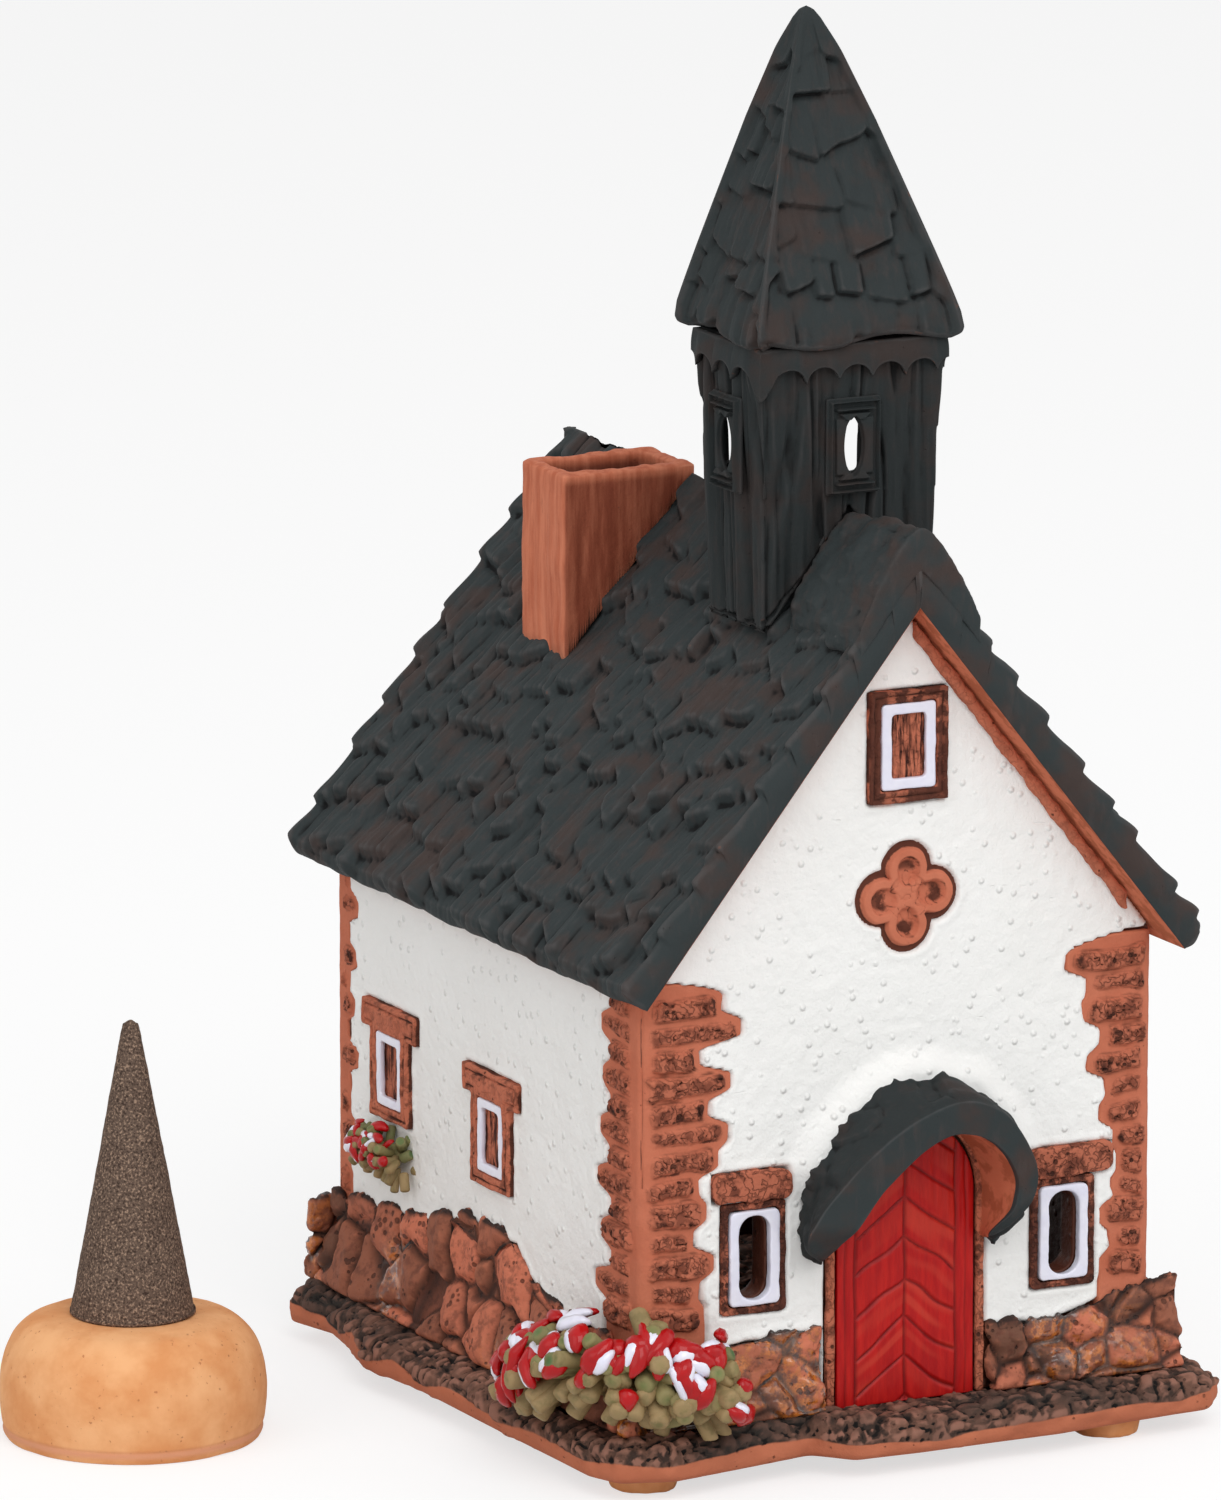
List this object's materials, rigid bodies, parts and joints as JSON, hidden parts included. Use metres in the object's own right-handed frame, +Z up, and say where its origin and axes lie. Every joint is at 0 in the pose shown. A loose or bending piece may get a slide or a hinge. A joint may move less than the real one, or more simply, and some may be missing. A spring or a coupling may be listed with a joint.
{
  "type": "ceramic incense house",
  "caption": "Hand-built pottery smoke house shaped like a chapel, with a hollow chamber and open chimney, and a loose round holder with an incense cone.",
  "frame": {"origin": "on the table under the centre of the box round the whole set, house and holder", "axes": "+Z up, +Y from the front gable to the back, +X to the right seen from the front"},
  "size_m": [0.1192, 0.0858, 0.1518],
  "materials": {
    "stained_terracotta": "unglazed red clay with near-black stain in the hollows, matt",
    "warm_terracotta": "unglazed orange clay with brush marks, matt",
    "pale_clay": "unglazed pale ochre clay with fine speckles, matt",
    "charcoal_stain": "charcoal stain over red clay, rubbed, semi-matt",
    "satin_white": "off-white satin glaze, slightly bumpy",
    "red_glaze": "brushed red underglaze with a low sheen",
    "white_glaze": "thick glossy white glaze",
    "amber_glazed_stone": "runny glossy amber glaze in patches over pitted red clay",
    "moss_glaze": "olive green with glossy red and white glaze",
    "incense_paste": "pressed dark brown powder, fine grain, matt"
  },
  "bodies": {
    "house": {"base_slab": "stained_terracotta", "foot_front_left": "pale_clay", "foot_front_right": "pale_clay", "foot_back_left": "pale_clay", "foot_back_right": "pale_clay", "front_wall": "satin_white", "back_wall": "satin_white", "left_wall": "satin_white", "right_wall": "satin_white", "roof_left": "charcoal_stain", "roof_right": "charcoal_stain", "ridge_lump": "charcoal_stain", "bead_front_left": "stained_terracotta", "bead_front_right": "stained_terracotta", "bead_back_left": "stained_terracotta", "bead_back_right": "stained_terracotta", "chimney": "warm_terracotta", "tower_body": "charcoal_stain", "tower_cornice": "charcoal_stain", "tower_window_front": "charcoal_stain", "tower_window_right": "charcoal_stain", "tower_window_left": "charcoal_stain", "spire": "charcoal_stain", "porch_canopy": "charcoal_stain", "door_leaf": "red_glaze", "door_frame": "stained_terracotta", "quatrefoil": "stained_terracotta", "gable_window_surround": "stained_terracotta", "gable_window_frame": "white_glaze", "front_window_left_surround": "stained_terracotta", "front_window_left_frame": "white_glaze", "front_window_left_lintel": "stained_terracotta", "front_window_right_surround": "stained_terracotta", "front_window_right_frame": "white_glaze", "front_window_right_lintel": "stained_terracotta", "left_window_front_surround": "stained_terracotta", "left_window_front_frame": "white_glaze", "left_window_rear_surround": "stained_terracotta", "left_window_rear_frame": "white_glaze", "right_window_front_surround": "stained_terracotta", "right_window_front_frame": "white_glaze", "right_window_rear_surround": "stained_terracotta", "right_window_rear_frame": "white_glaze", "plinth_left": "amber_glazed_stone", "plinth_right": "amber_glazed_stone", "plinth_front_left": "amber_glazed_stone", "plinth_front_right": "amber_glazed_stone", "plinth_back_left": "amber_glazed_stone", "plinth_back_right": "amber_glazed_stone", "quoins_front_left": "stained_terracotta", "quoins_front_right": "stained_terracotta", "quoins_back_left": "stained_terracotta", "quoins_back_right": "stained_terracotta", "window_flowers": "moss_glaze", "flower_bush": "moss_glaze"},
    "holder": {"incense_holder": "pale_clay"},
    "cone": {"incense_cone": "incense_paste"}
  },
  "joints": [
    {"name": "holder_slide", "type": "slide", "parent": "house", "child": "holder", "axis": [0, 1, 0], "range_m": [0, 0.075]},
    {"name": "cone_lift", "type": "slide", "parent": "holder", "child": "cone", "axis": [0, 0, 1], "range_m": [0, 0.04]}
  ]
}
